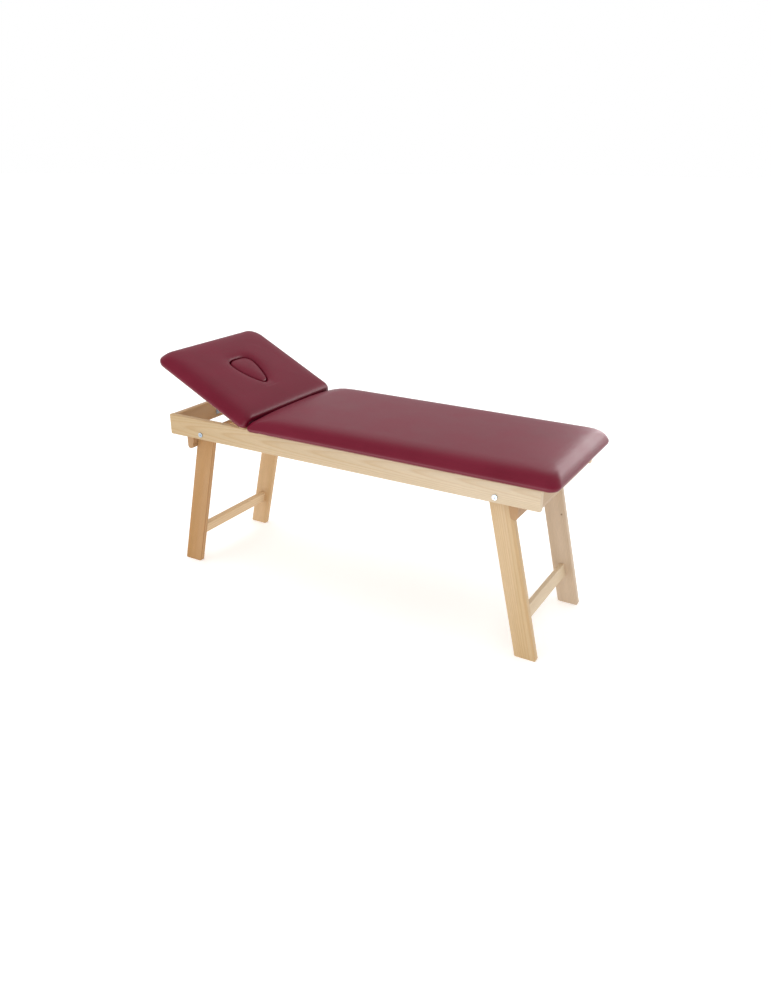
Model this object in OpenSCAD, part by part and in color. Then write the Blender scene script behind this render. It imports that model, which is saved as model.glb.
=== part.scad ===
// Folding massage table: a pine frame on two pairs of splayed legs that fold up inside it, a long
// upholstered panel, and a raised head section with a face hole, its plug and an adjustable stay.
// X runs along the table with the foot end at +X, Y runs across it, Z is up from the floor.

/* [Frame] */
// Length of the frame over the ends of the side rails
frame_l = 1756; // [1600:1:1900]
// How far the cushions stand out past the side rails
side_overhang = 26; // [10:1:45]
// Height of the top edge of the rails above the floor
rail_top = 736; // [700:1:800]
// Depth of the rails, top edge to bottom edge
rail_h = 92; // [84:1:110]
// Thickness of the side and end rails
rail_t = 26; // [22:1:32]
// How much higher the lower edge of the end rails lies than that of the side rails
end_rail_up = 6; // [0:1:10]
// Radius that softens the long edges of rails, legs and stretchers
edge_r = 4; // [1:0.5:5]
// Width of the two flat battens that cross the frame under the panel
batten_w = 90; // [60:1:120]
// Thickness of those flat battens
batten_t = 22; // [18:1:23]
// Width of a stop batten at its top
stop_w = 38; // [34:1:48]
// Height of a stop batten
stop_h = 55; // [45:1:70]
// How far a stop batten's ends lie in from the outer faces of the rails
stop_inset = 9; // [4:1:16]
// Radius of a stop batten's rounded lower corners
stop_r = 11; // [4:1:12]
// Depth of the counterbore of a stop batten's screws
stop_sink = 4; // [2:0.5:8]

/* [Legs] */
// Angle of the open legs from upright, feet outwards
leg_splay = 12.7; // [8:0.1:15]
// Width of a leg board
leg_w = 89; // [80:1:96]
// Thickness of a leg board
leg_t = 26; // [22:1:30]
// Distance of the leg bolts from the ends of the frame
pivot_inset = 174.5; // [150:0.5:200]
// Height of the leg bolts above the bottom edge of the rails
pivot_up = 23; // [14:0.5:24]
// Gap between a leg and the rail beside it, filled by the spacer
leg_gap = 10; // [6:0.5:14]
// Radius of the corners of a foot
foot_r = 7; // [2:1:12]
// Height of the middle of the stretcher above the floor
stretcher_up = 156; // [120:1:260]
// Width of a stretcher, measured along the legs
stretcher_w = 54; // [40:1:70]
// Distance of the stretchers from the legs' middle lines, inwards
stretcher_in = 3; // [0:1:8]
// Thickness of a stretcher
stretcher_t = 24; // [20:1:30]

/* [Leg fastenings] */
// Radius of a leg bolt's shank
bolt_r = 5; // [4:0.5:6]
// Radius of a leg bolt's flat round head
bolt_head_r = 10.5; // [8:0.5:13]
// Thickness of a leg bolt's head
bolt_head_t = 3.5; // [2:0.5:5]
// Size across the flats of the hexagon socket in the bolt's head
bolt_socket = 6; // [4:1:8]
// Radius of the spacers and washers on the leg bolts
washer_r = 12; // [11:0.5:16]
// Thickness of a washer
washer_t = 2; // [1.5:0.5:3]
// Size across the flats of a leg bolt's nut
nut_flats = 17; // [14:1:19]
// Thickness of a leg bolt's nut
nut_t = 9; // [6:1:12]

/* [Upholstery] */
// Width of both cushions
pad_w = 658; // [640:1:740]
// Thickness of an upholstered panel at its edge, board and foam together
pad_t = 64; // [54:1:74]
// How much higher the middle of a cushion is than its edge
crown = 2; // [1:0.5:8]
// Run of a cushion's rounded side, from its widest line to where the crown begins
side_run = 120; // [90:1:150]
// Thickness of the plywood boards
board_t = 15; // [12:1:18]
// How far the cover stands out round the edge of its board
wrap = 5; // [3:0.5:8]
// How far the long cushion stands out past the foot end of the frame
foot_overhang = 63; // [40:1:90]
// Length of the head cushion from the hinge line
head_l = 526.5; // [480:0.5:560]
// Run of a cushion's rounded end beside the hinge
hinge_run = 130; // [100:1:150]
// Radius of the outer corners of the cushions, seen from above
pad_corner = 47; // [40:1:70]
// Radius of the cushion corners beside the hinge
hinge_corner = 24; // [18:1:36]
// Radius to which all four corners grow where the crown begins
inner_corner = 100; // [80:1:120]

/* [Head section] */
// Distance of the hinge line from the middle of the frame, towards the head end
hinge_from_middle = 433; // [400:1:470]
// Angle at which the head section stands
head_tilt = 27; // [0:0.1:40]
// Steepest angle to which the stay can raise the head section
steepest_tilt = 40; // [35:1:45]
// Radius of the hinge's knuckles
knuckle_r = 3; // [2.5:0.25:3.5]
// Radius of the hinge pin
hinge_pin_r = 1.5; // [1:0.25:2]
// Distance of the hinge's ends from the sides of the cushions
hinge_in = 49; // [30:1:60]
// Distance of a leaf's outermost screws from its ends
hinge_screw_in = 40; // [15:1:45]
// Number of knuckles along the hinge
knuckles = 28; // [20:2:30]
// Width of a hinge leaf, from the pin's axis
leaf_w = 18; // [14:1:24]
// Thickness of a hinge leaf
leaf_t = 1.2; // [0.8:0.1:1.6]

/* [Face hole] */
// Distance of the middle of the face hole from the hinge line
face_at = 258; // [240:1:270]
// Length of the face hole
face_l = 187; // [160:1:210]
// Width of the face hole
face_w = 144; // [120:1:170]
// Width of the ledge of the board on which the plug rests
face_ledge = 9; // [6:1:14]
// Gap round the plug
plug_gap = 1; // [0.5:0.25:2]
// Gap round the plug's own board
plug_board_gap = 1.2; // [0.6:0.2:2]
// How far the plug's crown stands above the cushion
plug_rise = 1; // [1:0.5:8]

/* [Stay] */
// Distance of the stay's upper pivot from the hinge line, along the head board
stay_at = 120; // [100:1:135]
// Distance of the stay's upper pivot below the head board
stay_drop = 18; // [16:1:24]
// Height of the stay's lower pivot above the bottom edge of the rails
stay_up = 40; // [34:1:48]
// Distance of the stay's lower pivot from the head end rail
stay_out = 24; // [20:1:30]
// Height of the stay's flat bar
bar_h = 20; // [16:1:22]
// Thickness of the stay's flat bar
bar_t = 5; // [4:0.5:6]
// Gap between the flat bar's end and the upper pivot when the head section lies flat
bar_end_gap = 27; // [22:1:40]
// Thickness of the steel of the channel
channel_t = 2; // [1.5:0.5:3]
// Height of the channel's sides above the bar's middle line
channel_up = 11; // [9:1:11]
// Radius of the stay's two pivot pins
stay_pin_r = 4; // [3:0.5:5]
// Thickness of the steel of the stay's brackets
bracket_t = 3; // [2:0.5:4]
// Radius of the clamp knob
knob_r = 18; // [14:1:22]
// Thickness of the clamp knob
knob_t = 13; // [9:1:18]
// Number of finger hollows round the clamp knob
knob_lobes = 6; // [5:1:8]
// Radius of the clamp knob's threaded stud
stud_r = 3; // [2.5:0.5:4]

/* [Joinery] */
// Radius of the wooden dowels
dowel_r = 4; // [3:0.5:5]
// Depth of a dowel in a rail or a leg
dowel_in = 17; // [12:1:19]
// Depth of a dowel in the end of the piece that it carries
dowel_out = 28; // [20:1:35]
// Radius of a wood screw's shank
screw_r = 2; // [1.5:0.25:2.5]
// Radius of a wood screw's head
screw_head_r = 4; // [3:0.25:5]
// Size of a panel bracket's two legs
angle_size = 19; // [15:1:20]
// Width of a panel bracket
angle_w = 16; // [12:1:24]
// Thickness of a panel bracket
angle_t = 2; // [1.5:0.5:3]

/* [Hidden] */

// Overrun of every cut past the faces that it opens
over = 1;
// Clearance of a turning part on its pin or bolt
run_gap = 0.05;
// Gap between faces that slide or rest on each other across a joint
face_gap = 0.15;
// Gap under the head section when it lies flat on the rails
flat_gap = 0.3;
// Segments of a rounded edge or corner of the wood and the metal
corner_steps = 4;
// Segments of a full circle
$fn = 48;

// Width of the frame over the outer faces of the side rails
frame_w = pad_w - 2 * side_overhang;
// Places along the frame, measured from its middle
rail_bottom = rail_top - rail_h;
inner_y = frame_w / 2 - rail_t;
leg_y = inner_y - leg_gap - leg_t / 2;
pivot_x = frame_l / 2 - pivot_inset;
pivot_z = rail_bottom + pivot_up;
hinge_x = -hinge_from_middle;
hinge_z = rail_top + board_t + flat_gap;
foot_end = frame_l / 2 + foot_overhang;
middle_x = (hinge_x + frame_l / 2) / 2;

// A cushion's side, from the rolled lower edge to where the crown begins: how far each level lies
// in from the widest line, in shares of the side's run, and its height in shares of the thickness
side_insets_share = [0.033, 0.01, 0, 0.007, 0.022, 0.05, 0.092, 0.158, 0.275, 0.467, 0.733, 1];
side_heights_share = [0, 0.055, 0.14, 0.25, 0.367, 0.492, 0.609, 0.727, 0.844, 0.938, 0.988, 1];
// The same levels at the end beside the hinge, in shares of that end's own run: this end falls away
// from the hinge line, so that the two cushions clear each other at the steepest angle
hinge_insets_share = [0.012, 0.002, 0, 0.002, 0.014, 0.035, 0.073, 0.162, 0.354, 0.585, 0.808, 1];
// Where the crown's rings lie between the side's run and the middle, and their height in the crown
crown_insets_share = [0.2, 0.42, 0.66, 0.88];
crown_heights_share = [0.4, 0.7, 0.9, 0.99];
// The widest radius of a ring's corners, in shares of half its width
corner_limit_share = 0.95;
// Segments of a rounded corner of the upholstery
pad_steps = 10;

// The origin lies on the floor under the middle of the table's outline as it stands, and the
// outermost point of the head section is on one of the levels of its raised end
head_reach = max([for (i = [0:len(side_insets_share) - 1])
    (head_l - side_insets_share[i] * side_run) * cos(head_tilt)
        + (board_t - side_heights_share[i] * pad_t) * sin(head_tilt)]);
origin_x = (head_reach - hinge_x - foot_end) / 2;

// The egg-shaped outline of the face hole
face_fullness = 0.62;
face_egg_share = 0.426;
face_widest_share = 0.9;
face_steps = 40;
// The plug's levels: how far each lies in, in shares of half the hole's width, and its height, in
// shares of the foam's thickness and of the plug's rise over it
plug_insets_share = [0, 0, 0.015, 0.045, 0.1, 0.2, 0.34];
plug_heights_share = [0, 0.58, 0.72, 0.83, 0.92, 0.98, 1];
plug_rises_share = [0, 0, 0, 0, 0, 0.4, 0.85];

// Where the stay's pivots are, measured from the hinge line, and how the stay lies
stay_board_z = -(board_t + stay_drop);
function stay_end(tilt) = [-stay_at * cos(tilt) + stay_board_z * sin(tilt),
    stay_at * sin(tilt) + stay_board_z * cos(tilt)];
stay_top = stay_end(head_tilt);
stay_foot = [-frame_l / 2 + rail_t + stay_out - hinge_x, rail_bottom + stay_up - hinge_z];
stay_angle = atan2(stay_top.y - stay_foot.y, stay_top.x - stay_foot.x);
// The bar ends short of the upper pivot when the stay is shortest, and when it is longest the
// channel still holds a share of the bar
bar_l = norm(stay_end(0) - stay_foot) - bar_end_gap;
bar_held_share = 0.5;
channel_l = norm(stay_end(steepest_tilt) - stay_foot) - bar_l * (1 - bar_held_share);
// Room that the bar has in the channel, at each side and below it
bar_side_gap = 0.3;
bar_under_gap = 0.4;
channel_in = bar_t + 2 * bar_side_gap;
channel_out = channel_in + 2 * channel_t;
// Radius of the rounded ends of the stay's parts
stay_end_r = 10;
// Distance of the clamp knob from the channel's open end, and the nut that carries its stud
knob_from_end = 16;
clamp_nut_t = 5;
clamp_nut_flats = 11;
knob_hollow_r = 5;
knob_hollow_out_share = 0.4;
stud_in_knob_share = 0.7;
socket_depth_share = 0.7;
// Widths of the stay's base plates across the table and along it, and the height of its rail plate
plate_w = 52;
plate_l = 40;
rail_plate_h = 34;
ear_w = 18;
// Places of the plates' screws from their middle
plate_screw = 18;
plate_screw_l = 13;
pin_head_r = 6;
pin_head_t = 2;

// Wood screws
screw_l = 13;
stop_screw_l = 80;
stop_screw_r = 3;
stop_screw_head_r = 5;
batten_screw_l = 32;
screw_head_t = 2.4;
screw_dome_share = 1.5;
hinge_screw_r = 1.4;
hinge_screw_head_r = 2.8;
hinge_screw_l = 12;
hinge_screws = 7;
batten_screw_in = 14;

// Dowels: their spread across the ends of rails, battens and stretchers
rail_dowel_spread = 24;
batten_dowel_spread = 26;
stretcher_dowel_spread = 15;

function unit(v) = v / norm(v);

// Points of the arc of radius r that rounds the corner b between a and c
function corner(a, b, c, r, steps) =
    r <= 0 ? [b] :
    let (u = unit(a - b), v = unit(c - b), half = acos(u * v) / 2,
        m = b + unit(u + v) * r / sin(half),
        from = unit(b + u * r / tan(half) - m), to = unit(b + v * r / tan(half) - m),
        turn = 180 - 2 * half)
    [for (i = [0:steps]) let (t = i / steps)
        m + r * unit(from * sin((1 - t) * turn) + to * sin(t * turn))];

// An outline through the points, each corner rounded with its own radius
function rounded(points, radii, steps = corner_steps) =
    let (n = len(points))
    [for (i = [0:n - 1])
        each corner(points[(i + n - 1) % n], points[i], points[(i + 1) % n], radii[i], steps)];

// A rounded rectangle between two corners, all four corners alike
function soft_rect(low, high, r) =
    rounded([low, [high.x, low.y], high, [low.x, high.y]], [r, r, r, r]);

// The outline in the X-Z plane, t thick across the table and centred on it
module across(points, t) {
    rotate([90, 0, 0]) linear_extrude(t, center = true) polygon(points);
}

// Moves a piece of the frame from the middle of the frame to its place over the origin
module placed() translate([origin_x, 0, 0]) children();

// Moves a piece of the head section, drawn flat from the hinge line, to where it stands
module tilted() placed() translate([hinge_x, 0, hinge_z]) rotate([0, head_tilt, 0]) children();

// A cylinder along Y between two places
module pin_y(r, from, to) {
    translate([0, from, 0]) rotate([-90, 0, 0]) cylinder(r = r, h = to - from);
}

// A hexagonal prism along Y
module hex_y(flats, from, to) {
    translate([0, from, 0]) rotate([-90, 0, 0]) cylinder(d = flats / cos(30), h = to - from, $fn = 6);
}

// A countersunk wood screw along Z with the top of its head at zero, pointing down
module screw(l, r, head_r) {
    translate([0, 0, -l]) cylinder(r = r, h = l);
    translate([0, 0, r - head_r]) cylinder(r1 = r, r2 = head_r, h = head_r - r);
}

// A round-headed wood screw along Z with the seat of its head at zero, pointing down
module round_screw(l) {
    translate([0, 0, -l]) cylinder(r = screw_r, h = l);
    intersection() {
        cylinder(r = screw_head_r, h = screw_head_t);
        translate([0, 0, screw_head_t - screw_head_r * screw_dome_share])
            sphere(r = screw_head_r * screw_dome_share);
    }
}

// Rails

module side_rail_board() {
    rotate([0, 90, 0]) linear_extrude(frame_l, center = true)
        polygon(soft_rect([-rail_top, -rail_t / 2], [-rail_bottom, rail_t / 2], edge_r));
}

module side_rail(side) {
    placed() difference() {
        translate([0, side * (frame_w - rail_t) / 2, 0]) side_rail_board();
        corner_dowel_places() dowel();
        batten_dowel_places() dowel();
        stop_screw_places() screw(stop_screw_l, stop_screw_r, stop_screw_head_r);
        leg_bolt_places() pin_y(bolt_r, -frame_w, 0);
        angle_places() angle_rail_screw();
    }
}

module front_side_rail() color([0.86, 0.77, 0.64]) side_rail(-1);

module rear_side_rail() color([0.86, 0.77, 0.64]) side_rail(1);

module end_rail(side) {
    placed() difference() {
        translate([side * (frame_l - rail_t) / 2, 0, 0]) rotate([90, 0, 0])
            linear_extrude(2 * inner_y, center = true)
            polygon(soft_rect([-rail_t / 2, rail_bottom + end_rail_up], [rail_t / 2, rail_top],
                edge_r));
        corner_dowel_places() dowel();
        angle_places() angle_rail_screw();
        stay_rail_screw_places() screw(plate_screw_l + bracket_t, screw_r, screw_head_r);
    }
}

module head_end_rail() color([0.8, 0.7, 0.56]) end_rail(-1);

module foot_end_rail() color([0.84, 0.75, 0.62]) end_rail(1);

// Battens

module flat_batten(x) {
    placed() difference() {
        translate([x, 0, 0]) rotate([90, 0, 0]) linear_extrude(2 * inner_y, center = true)
            polygon(soft_rect([-batten_w / 2, rail_top - batten_t], [batten_w / 2, rail_top], edge_r));
        batten_dowel_places() dowel();
        batten_screw_places() screw(batten_screw_l, screw_r, screw_head_r);
    }
}

module hinge_batten() color([0.78, 0.68, 0.54]) flat_batten(hinge_x);

module middle_batten() color([0.78, 0.68, 0.54]) flat_batten(middle_x);

// A stop batten is screwed under the rails, and its inner face is bevelled to bear on the legs
module stop_batten(side) {
    low = rail_bottom - stop_h;
    inner_top = leg_edge_x(rail_bottom);
    outer = inner_top + stop_w;
    placed() difference() {
        across([for (p = rounded([[inner_top, rail_bottom], [leg_edge_x(low), low], [outer, low],
            [outer, rail_bottom]], [edge_r, stop_r, stop_r, edge_r])) [side * p.x, p.y]],
            frame_w - 2 * stop_inset);
        stop_screw_places() {
            screw(stop_screw_l, stop_screw_r, stop_screw_head_r);
            cylinder(r = stop_screw_head_r, h = stop_sink + over);
        }
    }
}

module head_stop_batten() color([0.73, 0.57, 0.43]) stop_batten(-1);

module foot_stop_batten() color([0.73, 0.57, 0.43]) stop_batten(1);

// Dowels and screws of the frame

// A dowel along Y: the end towards +Y is the one in the piece that it carries
module dowel() pin_y(dowel_r, -dowel_in, dowel_out);

module both_sides() for (turn = [0, 180]) rotate([0, 0, turn]) children();

module both_ends() for (side = [-1, 1]) mirror([side < 0 ? 1 : 0, 0, 0]) children();

module corner_dowel_places() {
    for (side = [-1, 1], end = [-1, 1], up = [-1, 1])
        translate([end * (frame_l - rail_t) / 2, side * inner_y,
            (rail_top + rail_bottom) / 2 + up * rail_dowel_spread])
            rotate([0, 0, side > 0 ? 180 : 0]) children();
}

module batten_dowel_places() {
    for (side = [-1, 1], x = [hinge_x, middle_x], along = [-1, 1])
        translate([x + along * batten_dowel_spread, side * inner_y, rail_top - batten_t / 2])
            rotate([0, 0, side > 0 ? 180 : 0]) children();
}

module corner_dowels() color([0.76, 0.62, 0.44]) placed() corner_dowel_places() dowel();

module batten_dowels() color([0.76, 0.62, 0.44]) placed() batten_dowel_places() dowel();

module stop_screw_places() {
    seat = (inner_y + frame_w / 2 - stop_inset) / 2;
    low = rail_bottom - stop_h;
    mid = (leg_edge_x(low) + leg_edge_x(rail_bottom) + stop_w) / 2;
    for (side = [-1, 1], end = [-1, 1])
        translate([end * mid, side * seat, low + stop_sink]) rotate([180, 0, 0]) children();
}

module stop_batten_screws() {
    color([0.7, 0.72, 0.75]) placed()
        stop_screw_places() screw(stop_screw_l, stop_screw_r, stop_screw_head_r);
}

module batten_screw_places() {
    for (x = [hinge_x + batten_w / 4, middle_x], side = [-1, 0, 1])
        translate([x, side * (inner_y - dowel_out - batten_screw_in), rail_top - batten_t])
            rotate([180, 0, 0]) children();
}

module batten_screws() {
    color([0.7, 0.72, 0.75]) placed()
        batten_screw_places() screw(batten_screw_l, screw_r, screw_head_r);
}

// Panel brackets: steel angles that hold the long panel to the rails from inside

module angle_places() {
    for (side = [-1, 1], x = [(hinge_x + middle_x) / 2, (middle_x + frame_l / 2) / 2])
        translate([x, side * inner_y, rail_top]) rotate([0, 0, side > 0 ? 180 : 0]) children();
    for (side = [-1, 1])
        translate([frame_l / 2 - rail_t, side * inner_y / 2, rail_top])
            rotate([0, 0, 90]) children();
}

module angle_rail_screw() {
    translate([0, angle_t, -angle_size / 2 - angle_t / 2]) rotate([-90, 0, 0]) round_screw(screw_l);
}

module angle_board_screw() {
    translate([0, angle_size / 2 + angle_t / 2, -angle_t]) rotate([180, 0, 0]) round_screw(screw_l);
}

module panel_brackets() {
    color([0.72, 0.74, 0.77]) placed() angle_places() difference() {
        rotate([90, 0, 90]) linear_extrude(angle_w, center = true)
            polygon([[0, 0], [0, -angle_size], [angle_t, -angle_size], [angle_t, -angle_t],
                [angle_size, -angle_t], [angle_size, 0]]);
        angle_rail_screw();
        angle_board_screw();
    }
}

module panel_bracket_screws() {
    color([0.78, 0.8, 0.83]) placed() angle_places() {
        angle_rail_screw();
        angle_board_screw();
    }
}

// Upholstered panels

// A board's outline, drawn from the hinge line towards +X
function board_outline(l) = rounded(
    [[board_end, -pad_w / 2 + wrap], [l - wrap, -pad_w / 2 + wrap], [l - wrap, pad_w / 2 - wrap],
        [board_end, pad_w / 2 - wrap]],
    [hinge_corner - wrap, pad_corner - wrap, pad_corner - wrap, hinge_corner - wrap], pad_steps);
// Distance of the boards' and the cushions' ends from the hinge line
board_end = 5;
pad_end = 3.5;

// One level of a cushion, drawn in from its widest outline by d, and by near beside the hinge, at
// height z
function pad_ring(l, d, near, z) =
    let (grown = min(d / side_run, 1),
        limit = corner_limit_share * (min(pad_w, l - pad_end) / 2 - d),
        near_r = min(hinge_corner + grown * (inner_corner - hinge_corner), limit),
        far_r = min(pad_corner + grown * (inner_corner - pad_corner), limit),
        x0 = pad_end + near, x1 = l - d, y = pad_w / 2 - d)
    [for (p = rounded([[x0, -y], [x1, -y], [x1, y], [x0, y]], [near_r, far_r, far_r, near_r],
        pad_steps)) [p.x, p.y, z]];

function pad_levels(l) =
    let (half = min(pad_w, l - pad_end) / 2)
    concat(
        [for (i = [0:len(side_insets_share) - 1])
            pad_ring(l, side_insets_share[i] * side_run, hinge_insets_share[i] * hinge_run,
                side_heights_share[i] * pad_t)],
        [for (i = [0:len(crown_insets_share) - 1])
            pad_ring(l, side_run + crown_insets_share[i] * (half - side_run),
                hinge_run + crown_insets_share[i] * (half - hinge_run),
                pad_t + crown_heights_share[i] * crown)]);

// A closed body through rings of equally many points, with a pole at the top and the bottom
module lofted(rings, low, high) {
    n = len(rings[0]);
    m = len(rings);
    points = concat([for (ring = rings) each ring], [low, high]);
    sides = [for (k = [0:m - 2], i = [0:n - 1]) let (j = (i + 1) % n)
        each [[k * n + i, (k + 1) * n + i, k * n + j], [k * n + j, (k + 1) * n + i, (k + 1) * n + j]]];
    bottom = [for (i = [0:n - 1]) [m * n, i, (i + 1) % n]];
    top = [for (i = [0:n - 1]) [m * n + 1, (m - 1) * n + (i + 1) % n, (m - 1) * n + i]];
    polyhedron(points, concat(sides, bottom, top));
}

// A cushion from the hinge line to its far end, hollowed for its board and the hinge leaf
module pad(l) {
    difference() {
        lofted(pad_levels(l), [l / 2, 0, 0], [l / 2, 0, pad_t + crown]);
        translate([0, 0, -over]) linear_extrude(board_t + over) polygon(board_outline(l));
        translate([0, -hinge_l / 2, board_t - over])
            cube([leaf_w + run_gap, hinge_l, over + leaf_t + run_gap]);
    }
}

module long_board() {
    color([0.8, 0.68, 0.5]) placed() difference() {
        translate([hinge_x, 0, rail_top]) linear_extrude(board_t)
            polygon(board_outline(foot_end - hinge_x));
        batten_screw_places() screw(batten_screw_l, screw_r, screw_head_r);
        angle_places() angle_board_screw();
        translate([hinge_x, 0, rail_top + board_t + leaf_t]) hinge_screw_places()
            screw(hinge_screw_l, hinge_screw_r, hinge_screw_head_r);
    }
}

module long_cushion() {
    color([0.5, 0.18, 0.25]) placed() translate([hinge_x, 0, rail_top]) pad(foot_end - hinge_x);
}

// Everything of the head section is drawn flat towards +X from the hinge line and turned round
module head_piece() tilted() rotate([0, 0, 180]) children();

module head_board() {
    color([0.8, 0.68, 0.5]) head_piece() difference() {
        translate([0, 0, -board_t]) linear_extrude(board_t) difference() {
            polygon(board_outline(head_l));
            polygon(face_outline(-face_ledge));
        }
        translate([0, 0, leaf_t]) hinge_screw_places()
            screw(hinge_screw_l, hinge_screw_r, hinge_screw_head_r);
        stay_board_screw_places() screw(plate_screw_l + bracket_t, screw_r, screw_head_r);
    }
}

module head_cushion() {
    color([0.5, 0.18, 0.25]) head_piece() difference() {
        translate([0, 0, -board_t]) pad(head_l);
        translate([0, 0, -over]) linear_extrude(pad_t) polygon(face_outline(0));
    }
}

// Face hole and plug

// The egg-shaped outline of the face hole, grown by a margin, wide end away from the hinge
function face_outline(margin) =
    [for (i = [0:face_steps - 1]) let (t = 360 * i / face_steps, s = sin(t))
        [face_at + (face_l / 2 + margin) * cos(t),
            (face_w / 2 * face_widest_share + margin) * sign(s) * pow(abs(s), face_fullness)
                * (1 + face_egg_share * cos(t))]];

function plug_ring(margin, z) = [for (p = face_outline(margin)) [p.x, p.y, z]];

module plug_cushion() {
    foam = pad_t - board_t - flat_gap;
    color([0.52, 0.19, 0.26]) head_piece() translate([0, 0, flat_gap]) lofted(
        [for (i = [0:len(plug_insets_share) - 1])
            plug_ring(-plug_gap - plug_insets_share[i] * face_w / 2,
                plug_heights_share[i] * foam + plug_rises_share[i] * plug_rise)],
        [face_at, 0, 0], [face_at, 0, foam + plug_rise]);
}

module plug_board() {
    color([0.8, 0.68, 0.5]) head_piece() translate([0, 0, flat_gap - board_t])
        linear_extrude(board_t) polygon(face_outline(-face_ledge - plug_board_gap));
}

// Legs

// The outer edge of an open leg at height z, measured from the middle of the frame
function leg_edge_x(z) = pivot_x + (pivot_z - z) * tan(leg_splay)
    + (leg_w / 2 + face_gap) / cos(leg_splay);

// One leg pair is drawn with its bolt at zero, standing as it is when open, feet towards +X
module leg_board() {
    reach = pivot_z / cos(leg_splay) + leg_w;
    intersection() {
        rotate([0, -leg_splay, 0]) union() {
            translate([0, 0, -reach]) linear_extrude(reach)
                polygon(soft_rect([-leg_w / 2, -leg_t / 2], [leg_w / 2, leg_t / 2], edge_r));
            rotate([90, 0, 0]) rotate_extrude() polygon(rounded([[0, -leg_t / 2],
                [leg_w / 2, -leg_t / 2], [leg_w / 2, leg_t / 2], [0, leg_t / 2]],
                [0, edge_r, edge_r, 0]));
        }
        across(foot_cut(), leg_t + 2 * over);
    }
}

// The outline that trims a leg level with the floor and rounds the corners of its foot
function foot_cut() =
    let (drop = pivot_z, lean = tan(leg_splay), half = leg_w / 2 / cos(leg_splay), top = leg_w)
    rounded([[-half - top * lean, top], [drop * lean - half, -drop], [drop * lean + half, -drop],
        [half - top * lean, top]], [0, foot_r, foot_r, 0]);

module stretcher_place() {
    d = (pivot_z - stretcher_up) / cos(leg_splay);
    rotate([0, -leg_splay, 0]) translate([-stretcher_in, 0, -d]) children();
}

module leg_dowel_places() {
    stretcher_place() for (side = [-1, 1], up = [-1, 1])
        translate([0, side * (leg_y - leg_t / 2), up * stretcher_dowel_spread])
            rotate([0, 0, side > 0 ? 180 : 0]) children();
}

module leg_pair(end) {
    placed() mirror([end < 0 ? 1 : 0, 0, 0]) translate([pivot_x, 0, pivot_z]) children();
}

module leg(end, side) {
    leg_pair(end) difference() {
        translate([0, side * leg_y, 0]) leg_board();
        pin_y(bolt_r + run_gap, -frame_w / 2, frame_w / 2);
        leg_dowel_places() dowel();
    }
}

module stretcher(end) {
    length = 2 * leg_y - leg_t;
    leg_pair(end) difference() {
        stretcher_place() across(soft_rect([-stretcher_t / 2, -stretcher_w / 2],
            [stretcher_t / 2, stretcher_w / 2], edge_r), length);
        leg_dowel_places() dowel();
    }
}

module head_front_leg() color([0.8, 0.63, 0.44]) leg(-1, -1);

module head_rear_leg() color([0.79, 0.68, 0.52]) leg(-1, 1);

module head_stretcher() color([0.84, 0.74, 0.58]) stretcher(-1);

module head_leg_dowels() color([0.76, 0.62, 0.44]) leg_pair(-1) leg_dowel_places() dowel();

module foot_front_leg() color([0.84, 0.73, 0.57]) leg(1, -1);

module foot_rear_leg() color([0.83, 0.74, 0.62]) leg(1, 1);

module foot_stretcher() color([0.84, 0.74, 0.58]) stretcher(1);

module foot_leg_dowels() color([0.76, 0.62, 0.44]) leg_pair(1) leg_dowel_places() dowel();

// Leg bolts, with everything on them drawn along Y from the head inwards

module leg_bolt_places() {
    for (turn = [0, 180], end = [-1, 1])
        rotate([0, 0, turn]) translate([end * pivot_x, 0, pivot_z]) children();
}

module leg_bolts() {
    inside = leg_y - leg_t / 2 - face_gap - washer_t - nut_t;
    color([0.75, 0.79, 0.84]) placed() leg_bolt_places() difference() {
        union() {
            pin_y(bolt_r, -frame_w / 2, -inside + washer_t);
            pin_y(bolt_head_r, -frame_w / 2 - bolt_head_t, -frame_w / 2);
        }
        hex_y(bolt_socket, -frame_w / 2 - bolt_head_t - over, -frame_w / 2 - bolt_head_t * (1 - socket_depth_share));
    }
}

module ring_y(from, to) {
    difference() {
        pin_y(washer_r, from, to);
        pin_y(bolt_r, from - over, to + over);
    }
}

module leg_spacers() {
    color([0.16, 0.16, 0.17]) placed() leg_bolt_places()
        ring_y(-inner_y, -leg_y - leg_t / 2 - face_gap);
}

module leg_washers() {
    from = -leg_y + leg_t / 2 + face_gap;
    color([0.72, 0.74, 0.77]) placed() leg_bolt_places() ring_y(from, from + washer_t);
}

module leg_nuts() {
    from = -leg_y + leg_t / 2 + face_gap + washer_t;
    color([0.72, 0.74, 0.77]) placed() leg_bolt_places() difference() {
        hex_y(nut_flats, from, from + nut_t);
        pin_y(bolt_r, from - over, from + nut_t + over);
    }
}

// Hinge

hinge_l = pad_w - 2 * hinge_in;
knuckle_pitch = hinge_l / knuckles;

module knuckle_row(first) {
    for (i = [first:2:knuckles - 1])
        translate([0, -hinge_l / 2 + i * knuckle_pitch, 0]) children();
}

// A leaf with its own knuckles, the first one at place number first, its plate at height low
module hinge_leaf(first, low) {
    length = knuckle_pitch - 2 * face_gap;
    difference() {
        union() {
            translate([knuckle_r + face_gap, -hinge_l / 2, low])
                cube([leaf_w - knuckle_r - face_gap, hinge_l, leaf_t]);
            knuckle_row(first) {
                pin_y(knuckle_r, face_gap, knuckle_pitch - face_gap);
                translate([0, face_gap, low]) cube([leaf_w / 2, length, leaf_t]);
            }
        }
        pin_y(hinge_pin_r + run_gap, -hinge_l, hinge_l);
        translate([0, 0, low + leaf_t]) hinge_screw_places()
            screw(hinge_screw_l, hinge_screw_r, hinge_screw_head_r);
    }
}

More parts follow.
